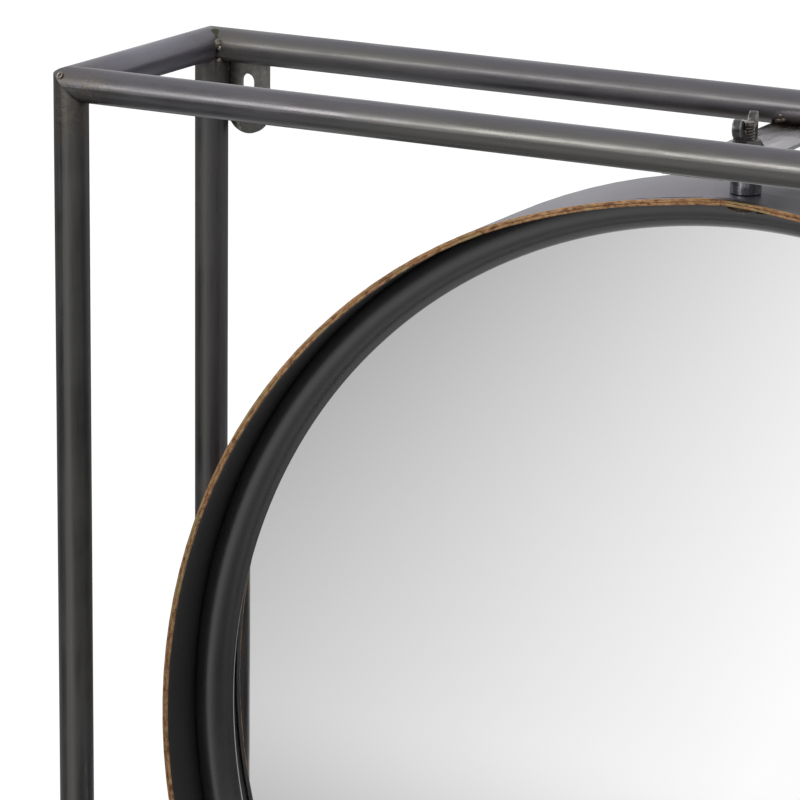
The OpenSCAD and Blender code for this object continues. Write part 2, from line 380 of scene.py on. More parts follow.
def makeFloor():
    # white to the eye, matt to the light
    bpy.ops.mesh.primitive_plane_add(size=studio["floorSize"], location=(0, 0, floorZ))
    floor = bpy.context.object
    floor.name = "floor"
    material, tree = newMaterial("paleFloor")
    path = addNode(tree, 'ShaderNodeLightPath').outputs
    seen = mathOf('MAXIMUM', path['Is Camera Ray'], path['Is Transmission Ray'])
    matt = feedAll(addNode(tree, 'ShaderNodeBsdfDiffuse'), {'Color': studio["floorPaint"]})
    white = feedAll(addNode(tree, 'ShaderNodeEmission'), {'Strength': studio["floorWhite"]})
    pale = mixShaders(studio["floorGlow"], matt, white)
    shine = fedNode('ShaderNodeEmission', {'Strength': makeFloorShine(tree)})
    forMetal = mixShaders(path['Is Glossy Ray'], matt, shine)
    finishMaterial(material, mixShaders(seen, forMetal, pale))
    floor.data.materials.append(material)


makeWorld()
makeFloor()
makeKeyLamp()
print("studio lit")


# noises are given by scale, detail and roughness, and bumps by strength and distance
grainMarks = {
    "streaks": (420, 4, 0.6),
    "bands": (120, 2, 0.5),
    "scuffs": (260, 3, 0.75),
    "patches": (38, 3, 0.6),
    "grain": (1500, 2, 0.7),
    "toneShares": (0.35, 0.2, 0.3, 0.15),      # of streaks, bands, patches and grain
    "toneSpan": (0.36, 0.64),
    "roughSpan": (0.75, 1.25),
    "heightShares": (0.5, 0.35),               # of streaks and grain
    "scuffSpan": (0.66, 0.74),
}


def makeDrawnGrain():
    # Along: the place squeezed along the length, so that its noise runs in streaks
    group, given = newGroup("drawnGrain", ("Along", "Place"), ("Tone", "Rough", "Height", "Scuff"))
    streaks, bands, scuffs = (
        noiseOf(given['Along'], *grainMarks[key]) for key in ("streaks", "bands", "scuffs"))
    patches, grain = (noiseOf(given['Place'], *grainMarks[key]) for key in ("patches", "grain"))
    tone = sumOf(*zip((streaks, bands, patches, grain), grainMarks["toneShares"]))
    return finishGroup(group, {
        "Tone": rangeOf(tone, *grainMarks["toneSpan"]),
        "Rough": rangeOf(plus(patches, streaks), *grainMarks["roughSpan"]),
        "Height": sumOf(*zip((streaks, grain), grainMarks["heightShares"])),
        "Scuff": rangeOf(scuffs, *grainMarks["scuffSpan"]),
    })


weldMarks = {
    "near": (30 * mm, 9 * mm),         # fading in towards the corner's middle
    "tight": (13.5 * mm, 8.5 * mm),
    "seamWidth": 1.3 * mm,
    "seamWaver": 1.2 * mm,
    "seamInward": (-1 * mm, -8 * mm),
    "waver": (700, 2, 0.6),
    "mottle": (330, 4, 0.7),
    "mottleSpan": (0.4, 0.62),
}


def makeWeldZone():
    # Near: round each corner of the frame. Seam: the crease where two tubes meet. Mottle: heat's blotches.
    group, given = newGroup("weldZone", ("Place",), ("Near", "Seam", "Mottle"))
    away = []      # how far out from each corner's middle, along X, Y and Z
    spot = splitOf(given['Place'])
    for value, middle, half in zip(spot, (0, midY, drumZ), (postX, halfDepth, halfHeight)):
        away.append(minus(mathOf('ABSOLUTE', minus(value, middle)), half))
    reach = vectorOf('LENGTH', joinOf(*away))
    waver = noiseOf(given['Place'], *weldMarks["waver"])
    shift = times(minus(waver, 0.5), weldMarks["seamWaver"])
    seam = 0.0
    for one, other in combinations(away, 2):
        gap = plus(minus(one, other), shift)
        line = rangeOf(mathOf('ABSOLUTE', gap), weldMarks["seamWidth"], 0.0, smooth=True)
        inward = rangeOf(plus(one, other), *weldMarks["seamInward"])
        seam = mathOf('MAXIMUM', seam, times(line, inward))
    return finishGroup(group, {
        "Near": rangeOf(reach, *weldMarks["near"], smooth=True),
        "Seam": times(seam, rangeOf(reach, *weldMarks["tight"])),
        "Mottle": rangeOf(noiseOf(given['Place'], *weldMarks["mottle"]), *weldMarks["mottleSpan"]),
    })


drumMarks = {
    # marks that run round the drum: how much they are squeezed along it, and their noise
    "Brushed": ((0.05, 0.05, 1), (900, 4, 0.65)),
    "Flecks": ((0.35, 0.35, 1), (1000, 5, 0.75)),
    "Runs": ((0.2, 0.2, 1), (260, 3, 0.6)),
}


def makeRoundTheDrum():
    # Radius: how far from the drum's axis. Depth: how far behind its front. Outside: its outer side.
    group, given = newGroup("roundTheDrum", ("Place", "Normal"), (*drumMarks, "Radius", "Depth", "Outside"))
    spot = splitOf(given['Place'])
    rise = minus(spot['Z'], drumZ)
    square = plus(times(spot['X'], spot['X']), times(rise, rise))
    radius = mathOf('SQRT', square)
    # two folds of the angle, so that the marks have no break where a full turn closes
    ups = mathOf('DIVIDE', rise, radius)
    sides = mathOf('DIVIDE', spot['X'], radius)
    lap = joinOf(times(ups, drumRadius), times(sides, drumRadius), plus(radius, spot['Y']))
    facing = splitOf(given['Normal'])
    outward = plus(times(sides, facing['X']), times(ups, facing['Z']))
    marks = {key: noiseOf(stretched(lap, along), *noise) for key, (along, noise) in drumMarks.items()}
    return finishGroup(group, {
        **marks,
        "Radius": radius,
        "Depth": minus(spot['Y'], rimFront),
        "Outside": mathOf('GREATER_THAN', outward, 0.3),
    })


drawnGrain = makeDrawnGrain()
weldZone = makeWeldZone()
roundTheDrum = makeRoundTheDrum()


def grainOf(place, along):
    return useGroup(drawnGrain, {'Along': stretched(place, along), 'Place': place})


def stained(colour, mask, stain, low, high, most, smooth=False):
    # the stain sets in as the mask goes from low to high
    return mixOf(rangeOf(mask, low, high, 0, most, smooth), colour, stain)


# In each finish a ramp's colours stand with their places on it. A stain's colour stands with the two values
# of its mask between which it sets in, its full share, and True where it sets in smoothly. "rough" gives
# two values of a noise and the roughness at each.

# frame tube: dark oiled steel under clear lacquer
tubeFinish = {
    "steel": ((0, (0.083, 0.079, 0.086)), (1, (0.147, 0.1405, 0.151))),
    "scuffed": (0.3, 0.29, 0.27),
    "scuffShare": 0.55,
    "drift": (60, 2, 0.5),
    "olive": ((0.118, 0.117, 0.105), 0.42, 0.62, 0.6),
    "violetTopSheen": ((0.118, 0.112, 0.14), 0.6, 0.9, 0.6),     # painted sheen: the upper side tinted violet, as by light from above
    "litVioletSheen": (0.172, 0.164, 0.206),
    "heatTint": (0.14, 0.118, 0.088),
    "heatShare": 0.55,
    # dark weld seam in the inner crease of each corner, partly painted shade where the crease is shaded
    "darkCreaseAndShade": (0.03, 0.028, 0.025),
    "darkCreaseAndShadeShare": 0.6,
    "rough": (0.2, 0.42),
    "roughAtWeld": 0.08,
    "weldHeight": 0.8,
    "bump": (0.5, 0.2 * mm),
    "coat": {'Coat Weight': 0.2, 'Coat Roughness': 0.13},
}


def makeTubeFinish(name, along, rougher=0.0, tones=(0.0, 1.0), litSheenShare=0.0):
    look = tubeFinish
    material, tree = newMaterial(name)
    place = placeOf(tree)
    grain = grainOf(place, along)
    weld = useGroup(weldZone, {'Place': place})
    steel = rampOf(rangeOf(grain['Tone'], 0, 1, *tones), *look["steel"])
    steel = mixOf(times(grain['Scuff'], look["scuffShare"]), steel, look["scuffed"])
    drift = noiseOf(stretched(place, along), *look["drift"])
    steel = stained(steel, drift, *look["olive"])
    steel = stained(steel, splitOf(normalOf(tree))['Z'], *look["violetTopSheen"])
    # painted sheen: a share of lighter violet, which makes a lit copy of the steel
    steel = mixOf(litSheenShare, steel, look["litVioletSheen"])
    heat = times(weld['Near'], times(weld['Mottle'], look["heatShare"]))
    steel = mixOf(heat, steel, look["heatTint"])
    steel = mixOf(times(weld['Seam'], look["darkCreaseAndShadeShare"]), steel, look["darkCreaseAndShade"])
    rough = rangeOf(grain['Rough'], 0, 1, *(level + rougher for level in look["rough"]))
    rough = plus(rough, times(weld['Near'], look["roughAtWeld"]))
    ridge = minus(times(weld['Near'], weld['Mottle']), weld['Seam'])
    height = plus(grain['Height'], times(ridge, look["weldHeight"]))
    return finishSurface(material, steel, rough, bumpOf(height, *look["bump"]), **look["coat"])


railSteel = makeTubeFinish("railSteel", (0.06, 1, 1), 0.05)
backRailSteel = makeTubeFinish("backRailSteel", (0.06, 1, 1), 0.15)
# painted shade: the posts keep only the darker third of the steel's tones, a shaded copy of the rail steel
shadedPostSteel = makeTubeFinish("shadedPostSteel", (1, 1, 0.06), 0.12, (0.0, 0.32))
# painted sheen: the side rail is a lighter, more violet lit copy of the rail steel
litSideRailSteel = makeTubeFinish("litSideRailSteel", (1, 0.06, 1), 0.16, litSheenShare=0.55)


# hangers: dark sheet, brushed and stained
hangerFinish = {
    "along": (1, 1, 0.25),
    "coarse": (620, 4, 0.75),
    "sheet": ((0.25, (0.1, 0.098, 0.095)), (0.85, (0.33, 0.322, 0.305))),
    "stains": (110, 3, 0.6),
    "stain": ((0.12, 0.085, 0.06), 0.52, 0.68, 0.7),
    "foot": ((0.1, 0.098, 0.095), 8 * mm, -2 * mm, 0.75, True),     # from this height down to that
    "footRagged": 8 * mm,
    "rubs": (330, 4, 0.7),
    "rubsAlong": (1, 1, 0.3),
    "rubbed": ((0.45, 0.44, 0.4), 0.64, 0.72, 0.8),
    "rough": (0.3, 0.7, 0.36, 0.55),
    "bump": (0.4, 0.2 * mm),
}


def makeHangerFinish():
    look = hangerFinish
    material, tree = newMaterial("hangerSheet")
    place = placeOf(tree)
    coarse = noiseOf(place, *look["coarse"])
    stain = noiseOf(place, *look["stains"])
    rubs = noiseOf(stretched(place, look["rubsAlong"]), *look["rubs"])
    tone = sumOf((grainOf(place, look["along"])['Tone'], 0.5), (coarse, 0.6))
    sheet = stained(rampOf(tone, *look["sheet"]), stain, *look["stain"])
    height = plus(splitOf(place)['Z'], times(stain, look["footRagged"]))
    sheet = stained(sheet, height, *look["foot"])
    sheet = stained(sheet, rubs, *look["rubbed"])
    return finishSurface(material, sheet, rangeOf(coarse, *look["rough"]), bumpOf(coarse, *look["bump"]))


# strap: bright flat bar, blued toward its welds
strapFinish = {
    "along": (1, 0.12, 1),
    "bar": ((0, (0.47, 0.46, 0.48)), (1, (0.66, 0.645, 0.67))),
    "waves": (260, 3, 0.6),
    "waver": 6 * mm,
    "straw": ((0.2, 0.14, 0.075), halfDepth - 9 * mm, halfDepth - 3 * mm, 0.7, True),
    "soot": ((0.06, 0.055, 0.05), halfDepth - 2.5 * mm, halfDepth + 2 * mm, 0.7, True),
    "rough": (0, 1, 0.24, 0.4),
    "bump": (0.3, 0.1 * mm),
}


def makeStrapFinish():
    look = strapFinish
    material, tree = newMaterial("strapBar")
    place = placeOf(tree)
    grain = grainOf(place, look["along"])
    fromMiddle = mathOf('ABSOLUTE', minus(splitOf(place)['Y'], midY))
    wavy = plus(fromMiddle, times(noiseOf(place, *look["waves"]), look["waver"]))
    bar = stained(rampOf(grain['Tone'], *look["bar"]), wavy, *look["straw"])
    bar = stained(bar, wavy, *look["soot"])
    return finishSurface(material, bar, rangeOf(grain['Rough'], *look["rough"]),
                         bumpOf(grain['Height'], *look["bump"]))


# drum: brushed outside, blackened inside, rim rubbed back to copper gold
drumFinish = {
    "clouds": (22, 3, 0.6),
    "grain": (1300, 2, 0.6),
    "outside": ((0.35, (0.173, 0.163, 0.19)), (0.65, (0.27, 0.256, 0.289))),
    "inside": ((0.35, (0.012, 0.012, 0.0125)), (0.7, (0.02, 0.02, 0.02))),
    "boltShadeAt": (27 * mm, pivotY + 4 * mm, drumZ + drumRadius),     # painted shade: a dark patch beside the bolt, on top, standing in for the strap's and rails' shade and dark reflection
    "boltShade": ((0.05, 0.048, 0.056), 44 * mm, 24 * mm, 0.9, True),
    "boltShadeRagged": 20 * mm,
    "leaf": ((0.38, (0.13, 0.068, 0.034)), (0.48, (0.36, 0.18, 0.082)), (0.62, (0.5, 0.33, 0.165))),
    "olive": ((0.34, 0.27, 0.125), 0.52, 0.62, 0.75),
    "leafDepth": (0.7 * mm, 0.5 * mm),
    "leafRagged": 1.2 * mm,
    "leafMetal": 0.6,
    "leafRough": 0.4,
    "roughSides": (0.5, 0.42),         # inside, outside
    "rough": (0.3, 0.7, -0.05, 0.06),
    "bump": (0.35, 0.06 * mm),
}


def makeDrumFinish(name, gilded):
    look = drumFinish
    material, tree = newMaterial(name)
    place = placeOf(tree)
    drum = useGroup(roundTheDrum, {'Place': place, 'Normal': normalOf(tree)})
    outside, brushed = drum['Outside'], drum['Brushed']
    cloud = noiseOf(place, *look["clouds"])
    grain = noiseOf(place, *look["grain"])
    bare = rampOf(sumOf((brushed, 0.6), (cloud, 0.4)), *look["outside"])
    # painted shade beside the bolt, on the band's top
    fromBoltShade = vectorOf('DISTANCE', place, look["boltShadeAt"])
    fromBoltShade = plus(fromBoltShade, times(cloud, look["boltShadeRagged"]))
    bare = stained(bare, fromBoltShade, *look["boltShade"])
    colour = mixOf(outside, rampOf(grain, *look["inside"]), bare)
    metallic = outside
    rough = rangeOf(outside, 0, 1, *look["roughSides"])
    rough = plus(rough, rangeOf(brushed, *look["rough"]))
    height = sumOf((brushed, 0.6), (grain, 0.4))
    if gilded:
        leaf = stained(rampOf(drum['Flecks'], *look["leaf"]), drum['Runs'], *look["olive"])
        ragged = times(minus(drum['Runs'], 0.5), look["leafRagged"])
        front = rangeOf(plus(drum['Depth'], ragged), *look["leafDepth"])
        colour = mixOf(front, colour, leaf)
        metallic = mathOf('MAXIMUM', outside, times(front, look["leafMetal"]))
        rough = mathOf('MAXIMUM', rough, times(front, look["leafRough"]))
        height = plus(height, times(drum['Flecks'], 2.0))
    return finishSurface(material, colour, rough, bumpOf(height, *look["bump"]), metallic)


# bezel: charcoal satin paint, its outer crease darkened by dirt and painted shade
bezelFinish = {
    "grain": (900, 3, 0.65),
    "clouds": (40, 3, 0.6),
    "paint": ((0.35, (0.015, 0.015, 0.0154)), (0.65, (0.023, 0.023, 0.023))),
    # painted shade with dirt: near-black in the recess along the outer edge, beside the drum's wall
    "darkCreaseAndShade": ((0.004, 0.004, 0.004), bezelRadius - 1.1 * mm, bezelRadius, 1.0),
    "darkCreaseAndShadeRagged": 0.8 * mm,
    "rough": (0.3, 0.7, 0.26, 0.36),
    "bump": (0.3, 0.1 * mm),
    "coat": {'Specular IOR Level': 0.88, 'Coat Weight': 0.15, 'Coat Roughness': 0.2},
}


def makeBezelFinish():
    look = bezelFinish
    material, tree = newMaterial("bezelPaint")
    place = placeOf(tree)
    grain = noiseOf(place, *look["grain"])
    tone = sumOf((grain, 0.5), (noiseOf(place, *look["clouds"]), 0.5))
    radius = useGroup(roundTheDrum, {'Place': place})['Radius']
    ragged = plus(radius, times(grain, look["darkCreaseAndShadeRagged"]))
    paint = stained(rampOf(tone, *look["paint"]), ragged, *look["darkCreaseAndShade"])
    return finishSurface(material, paint, rangeOf(tone, *look["rough"]),
                         bumpOf(grain, *look["bump"]), 0.0, **look["coat"])


mirrorFinish = {
    "haze": (6, 4, 0.6),
    "silver": ((0.3, (0.965, 0.97, 0.965)), (0.7, (0.98, 0.982, 0.98))),
    "rough": (0.45, 0.75, 0.0, 0.02),
}


def makeMirrorFinish():
    look = mirrorFinish
    material, tree = newMaterial("silveredGlass")
    haze = noiseOf(placeOf(tree), *look["haze"])
    rough = rangeOf(haze, *look["rough"])
    return finishSurface(material, rampOf(haze, *look["silver"]), rough, None)


boardFinish = {
    "along": (1, 0.3, 0.35),
    "fibres": (800, 5, 0.7),
    "clouds": (30, 3, 0.6),
    "board": ((0.3, (0.19, 0.115, 0.055)), (0.68, (0.42, 0.29, 0.16))),
    "rough": (0.3, 0.7, 0.6, 0.8),
    "bump": (0.5, 0.2 * mm),
}


def makeBoardFinish():
    look = boardFinish
    material, tree = newMaterial("fibreBoard")
    place = placeOf(tree)
    fibre = noiseOf(stretched(place, look["along"]), *look["fibres"])
    tone = sumOf((fibre, 0.65), (noiseOf(place, *look["clouds"]), 0.35))
    return finishSurface(material, rampOf(tone, *look["board"]), rangeOf(fibre, *look["rough"]),
                         bumpOf(fibre, *look["bump"]), 0.0)


# spacer bushes: plated, with drawn streaks, turned so that their light and dark streaks paint the bush's
# reflections
bushFinish = {
    "along": (1, 1, 0.08),
    "shift": (7 * mm, 0, 0),       # moves the streaks round the bush, to where they paint its light and dark reflections
    "streaks": (230, 3, 0.55),
    "grain": (900, 3, 0.6),
    "plate": ((0.42, (0.09, 0.09, 0.105)), (0.56, (0.23, 0.235, 0.26)), (0.68, (0.46, 0.465, 0.485))),
    "rough": (0.3, 0.7, 0.12, 0.2),
    "bump": (0.3, 0.06 * mm),
}


def makeBushFinish():
    look = bushFinish
    material, tree = newMaterial("plateStreaksAndSheen")
    place = placeOf(tree)
    streaks = noiseOf(stretched(place, look["along"], look["shift"]), *look["streaks"])
    grain = noiseOf(place, *look["grain"])
    plate = rampOf(sumOf((streaks, 1.0), (grain, 0.12)), *look["plate"])
    return finishSurface(material, plate, rangeOf(grain, *look["rough"]), bumpOf(grain, *look["bump"]))


# small parts: dark and light metal, rust and the noise at which it sets in, roughness, scale of the grain
smallPartFinish = {
    "brightZinc": ((0.33, 0.33, 0.345), (0.44, 0.44, 0.45), (0.16, 0.11, 0.06), 0.72, (0.13, 0.22), 160),
    "satinSteel": ((0.1, 0.1, 0.108), (0.15, 0.15, 0.162), (0.08, 0.06, 0.04), 0.72, (0.14, 0.24), 160),
    "headSteel": ((0.05, 0.042, 0.03), (0.1, 0.088, 0.065), (0.06, 0.034, 0.018), 0.48, (0.34, 0.5), 500),
    "wornSteel": ((0.055, 0.053, 0.054), (0.098, 0.096, 0.096), (0.066, 0.042, 0.03), 0.6, (0.3, 0.45), 420),
    "rubbedEdge": ((0.1, 0.098, 0.092), (0.27, 0.262, 0.245), (0.1, 0.075, 0.05), 0.58, (0.24, 0.38), 600),
    "rustyThread": ((0.09, 0.083, 0.078), (0.2, 0.19, 0.178), (0.08, 0.048, 0.034), 0.47, (0.3, 0.45), 520),
    "weldMetal": ((0.1, 0.094, 0.082), (0.26, 0.242, 0.212), (0.1, 0.072, 0.05), 0.5, (0.3, 0.46), 480),
    "brightWeld": ((0.2, 0.17, 0.13), (0.5, 0.47, 0.41), (0.16, 0.1, 0.06), 0.5, (0.22, 0.36), 700),
    "groundFlat": ((0.045, 0.05, 0.036), (0.08, 0.084, 0.065), (0.05, 0.04, 0.03), 0.65, (0.35, 0.5), 500),
}
# what all of them share, with each noise's scale as a multiple of the part's own
smallPartMarks = {
    "clouds": (1, 4, 0.65),
    "fine": (6, 3, 0.6),
    "rust": (1.7, 5, 0.7),
    "rustSpan": 0.08,          # of the noise, from where rust starts to where it is full
    "rustRough": 0.25,         # how much rougher rust is
    "rustDull": 0.6,           # and how much less metallic
    "bump": (0.35, 0.08 * mm),
}


def makeSmallPartFinish(name, dark, light, rust, rustFrom, roughness, grainScale):
    look = smallPartMarks
    material, tree = newMaterial(name)
    place = placeOf(tree)
    clouds, fine, spots = (
        noiseOf(place, grainScale * scale, *more)
        for scale, *more in (look["clouds"], look["fine"], look["rust"]))
    rusty = rangeOf(spots, rustFrom, rustFrom + look["rustSpan"])
    colour = mixOf(rusty, rampOf(clouds, (0.3, dark), (0.7, light)), rust)
    rough = plus(rangeOf(fine, 0.3, 0.7, *roughness), times(rusty, look["rustRough"]))
    metallic = minus(1.0, times(rusty, look["rustDull"]))
    bump = bumpOf(plus(fine, rusty), *look["bump"])
    return finishSurface(material, colour, rough, bump, metallic)


hangerSheet = makeHangerFinish()
strapBar = makeStrapFinish()
drumSkin = makeDrumFinish("drumSkin", False)
gildedRim = makeDrumFinish("gildedRim", True)
bezelPaint = makeBezelFinish()
silveredGlass = makeMirrorFinish()
fibreBoard = makeBoardFinish()
plateStreaksAndSheen = makeBushFinish()
smallPart = {name: makeSmallPartFinish(name, *values) for name, values in smallPartFinish.items()}

# the first of these words that a node's name holds gives its finish, and otherwise its record slot does
finishByName = {
    "post": shadedPostSteel, "side_rail": litSideRailSteel, "hanger": hangerSheet, "strap": strapBar,
    "back_top_rail": backRailSteel, "back_bottom_rail": backRailSteel, "rail": railSteel,
    "spacer": plateStreaksAndSheen, "washer": smallPart["satinSteel"], "tabs": smallPart["brightZinc"],
}
finishBySlot = {
    "drum_steel": drumSkin, "rim_brass": gildedRim, "bezel_black": bezelPaint,
    "mirror": silveredGlass, "board": fibreBoard,
    "plated_steel": smallPart["brightZinc"], "worn_steel": smallPart["wornSteel"],
}
subparts = frame["record"]["subparts"]
for part in subparts:
    found = [finish for word, finish in finishByName.items() if word in part["node"]]
    mesh = frame["nodes"][part["node"]].data
    mesh.materials.clear()
    mesh.materials.append(found[0] if found else finishBySlot[part["material_slot"]])
print("finishes on", len(subparts), "nodes")


# helpers for new pieces

def startPiece(name, material):
    piece = bpy.context.object
    piece.name = name
    piece.data.materials.append(material)
    return piece


def startEdit(kind='FACE'):
    bpy.ops.object.mode_set(mode='EDIT')
    bpy.ops.mesh.select_mode(type=kind)
    bpy.ops.mesh.select_all(action='SELECT')


def endEdit():
    bpy.ops.object.mode_set(mode='OBJECT')


def choose(piece, kind, test):
    # stays in edit mode, with exactly those corners, edges or faces selected that pass the test
    bpy.ops.object.mode_set(mode='EDIT')
    bpy.ops.mesh.select_mode(type=kind)
    bpy.ops.mesh.select_all(action='DESELECT')
    shape = bmesh.from_edit_mesh(piece.data)
    shape.normal_update()
    for part in {'VERT': shape.verts, 'EDGE': shape.edges, 'FACE': shape.faces}[kind]:
        part.select_set(not part.hide and test(part))
    if kind == 'VERT':
        shape.select_flush(True)
    bmesh.update_edit_mesh(piece.data)


def extrudeBy(move):
    bpy.ops.mesh.extrude_region_move(TRANSFORM_OT_translate={"value": move})


def applyPlace():
    bpy.ops.object.transform_apply(location=True, rotation=True, scale=True)


def chooseTop(piece):
    choose(piece, 'FACE', lambda face: face.normal.z > 0.9)


def joinDoubles(reach=0.001 * mm):
    startEdit()
    bpy.ops.mesh.remove_doubles(threshold=reach)
    endEdit()


def turnOutwards():
    startEdit()
    bpy.ops.mesh.normals_make_consistent(inside=False)
    endEdit()


def settle(angle):
    # joins doubles, turns faces outwards, fixes the place and smooths all but sharp edges
    joinDoubles()
    turnOutwards()
    applyPlace()
    bpy.ops.object.shade_smooth_by_angle(angle=math.radians(angle))


def pickOnly(piece):
    if bpy.context.object and bpy.context.object.mode != 'OBJECT':
        endEdit()
    bpy.ops.object.select_all(action='DESELECT')
    piece.select_set(True)
    bpy.context.view_layer.objects.active = piece


def applyModifiers(piece):
    pickOnly(piece)
    for modifier in list(piece.modifiers):
        bpy.ops.object.modifier_apply(modifier=modifier.name)


def addCylinder(sides, radius, depth, place, lying=False):
    bpy.ops.object.select_all(action='DESELECT')
    bpy.ops.mesh.primitive_cylinder_add(vertices=sides, radius=radius, depth=depth, location=place,
                                        rotation=(math.pi / 2 if lying else 0, 0, 0))


def roundEdges(size, steps=3, **more):
    bpy.ops.mesh.bevel(offset=size, segments=steps, affect='EDGES', **more)


def copyOf(source, name):
    twin = bpy.data.objects.new(name, source.data.copy())
    twin.matrix_world = source.matrix_world.copy()
    bpy.context.collection.objects.link(twin)
    pickOnly(twin)
    return twin


def joinPieces(pieces, name):
    pickOnly(pieces[0])
    for piece in pieces:
        piece.select_set(True)
    bpy.ops.object.join()
    whole = bpy.context.object
    whole.name = name
    return whole


def flipDown(piece, name):
    # the same piece under the drum, mirrored in its middle plane
    twin = copyOf(piece, name)
    flip = Matrix.Translation((0, 0, 2 * drumZ)) @ Matrix.Scale(-1, 4, (0, 0, 1))
    twin.matrix_world = flip @ twin.matrix_world
    applyPlace()
    turnOutwards()
    return twin


# drum band and rim: sprung up over each bolt's head and a little flat beside it
rimBend = {
    "start": 1.2 * mm,         # in front of the spacer
    "rise": 0.8 * mm,
    "riseHalf": 8 * mm,        # this far to each side the rise is full
    "riseReach": 20 * mm,
    "flat": 0.8 * mm,
    "flatStart": 5 * mm,       # in front of the bend
    "flatAt": -52 * mm,
    "flatHalf": 12 * mm,
    "flatReach": 42 * mm,
}
bendY = spacerFront - rimBend["start"]


def looseCopy(nodeName, name):
    # a copy that can be bent: its triangles' doubled corners are joined
    piece = copyOf(frame["nodes"][nodeName], name)
    bpy.ops.mesh.customdata_custom_splitnormals_clear()
    joinDoubles()
    return piece


def moveSoftly(move, reach):
    bpy.ops.transform.translate(value=(0, 0, move), use_proportional_edit=True,
                                proportional_edit_falloff='SMOOTH', proportional_size=reach)


def bendRim(piece):
    for up in (1, -1):

        def near(vert, middle, half):
            return abs(vert.co.x - middle) < half and (vert.co.z - drumZ) * up > 0

        # what lies behind the bend keeps its place while the front is sprung
        choose(piece, 'VERT', lambda vert: vert.co.y > bendY - 0.01 * mm)
        bpy.ops.mesh.hide(unselected=False)
        choose(piece, 'VERT', lambda vert: near(vert, 0, rimBend["riseHalf"]))
        moveSoftly(up * rimBend["rise"], rimBend["riseReach"])
        bpy.ops.mesh.reveal(select=False)
        choose(piece, 'VERT', lambda vert: vert.co.y < bendY - rimBend["flatStart"]
               and near(vert, rimBend["flatAt"], rimBend["flatHalf"]))
        moveSoftly(-up * rimBend["flat"], rimBend["flatReach"])
    endEdit()


for nodeName, pieceName, slotName in (
    ("drum_band", "bentBand", "drum_steel"),
    ("rim_ring", "bentRim", "rim_brass"),
):
    bent = looseCopy(nodeName, pieceName)
    if nodeName == "drum_band":
        startEdit()
        bpy.ops.mesh.bisect(plane_co=(0, bendY, 0), plane_no=(0, 1, 0))
        endEdit()
    bendRim(bent)
    settle(30)
    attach(bent, "mirror_drum")
    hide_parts(nodeName)
print("drum's front edge bent")


# bezel and glass: the rounded face runs down to the glass, with no step
bezelShape = {
    # mm from the outer edge inwards, and mm behind the rim's front
    "face": ((0, 21.8), (1.2, 21.1), (2.8, 20.65), (4.8, 20.5), (6.7, 20.7), (8.5, 21.3), (10.1, 22.4),
             (11.5, 23.8), (12.6, 25.4), (13.4, 27), (13.8, 27.9)),
    "foot": 0.05 * mm,
    "relief": 0.6 * mm,        # round the head of each bolt
    "reliefTall": 12 * mm,
    "toGlass": 0.06 * mm,
    "edgeRound": 0.8 * mm,     # at the rims of the pane
    "glassGap": 0.85 * mm,     # round the glass, inside the band
    "sides": 240,
}


def makeBezel():
    face = [(bezelRadius - inward * mm, rimFront + back * mm) for inward, back in bezelShape["face"]]
    radius, depth = face[0]
    centre = (0, 0, drumZ)
    bpy.ops.mesh.primitive_circle_add(vertices=bezelShape["sides"], radius=radius, fill_type='NOTHING',
                                      location=(0, depth, drumZ), rotation=(math.pi / 2, 0, 0))
    bezel = startPiece("roundedBezel", bezelPaint)
    applyPlace()
    startEdit('EDGE')
    for nextRadius, nextDepth in face[1:]:
        extrudeBy((0, nextDepth - depth, 0))
        grow = nextRadius / radius
        bpy.ops.transform.resize(value=(grow, 1, grow), center_override=centre)
        radius, depth = nextRadius, nextDepth
    extrudeBy((0, bezelShape["foot"], 0))
    extrudeBy((0, 0, 0))
    grow = bezelRadius / radius
    bpy.ops.transform.resize(value=(grow, 1, grow), center_override=centre)
    choose(bezel, 'EDGE', lambda edge: edge.is_boundary)
    bpy.ops.mesh.bridge_edge_loops()
    endEdit()
    settle(30)
    for up in (1, -1):
        addCylinder(64, headRadius + bezelShape["relief"], bezelShape["reliefTall"],
                    (0, pivotY, drumZ + up * bezelRadius))
        cutter = bpy.context.object
        cut = bezel.modifiers.new("headRelief", 'BOOLEAN')
        cut.operation = 'DIFFERENCE'
        cut.object = cutter
        applyModifiers(bezel)
        bpy.data.objects.remove(cutter)
    settle(30)
    return bezel


def makeGlass():
    front = rimFront + bezelShape["face"][-1][1] * mm + bezelShape["toGlass"]
    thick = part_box("backing_board")[0].y - front
    addCylinder(bezelShape["sides"], bezelRadius - bezelShape["glassGap"], thick,
                (0, front + thick / 2, drumZ), lying=True)
    glass = startPiece("roundGlass", silveredGlass)
    applyPlace()
    choose(glass, 'FACE', lambda face: abs(face.normal.y) > 0.9)
    roundEdges(bezelShape["edgeRound"], 2)
    settle(20)
    return glass


for piece, nodeName, slotName in (
    (makeBezel(), "bezel_ring", "bezel_black"),
    (makeGlass(), "mirror_glass", "mirror"),
):
    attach(piece, "mirror_drum")
    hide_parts(nodeName)
print("bezel and glass made")


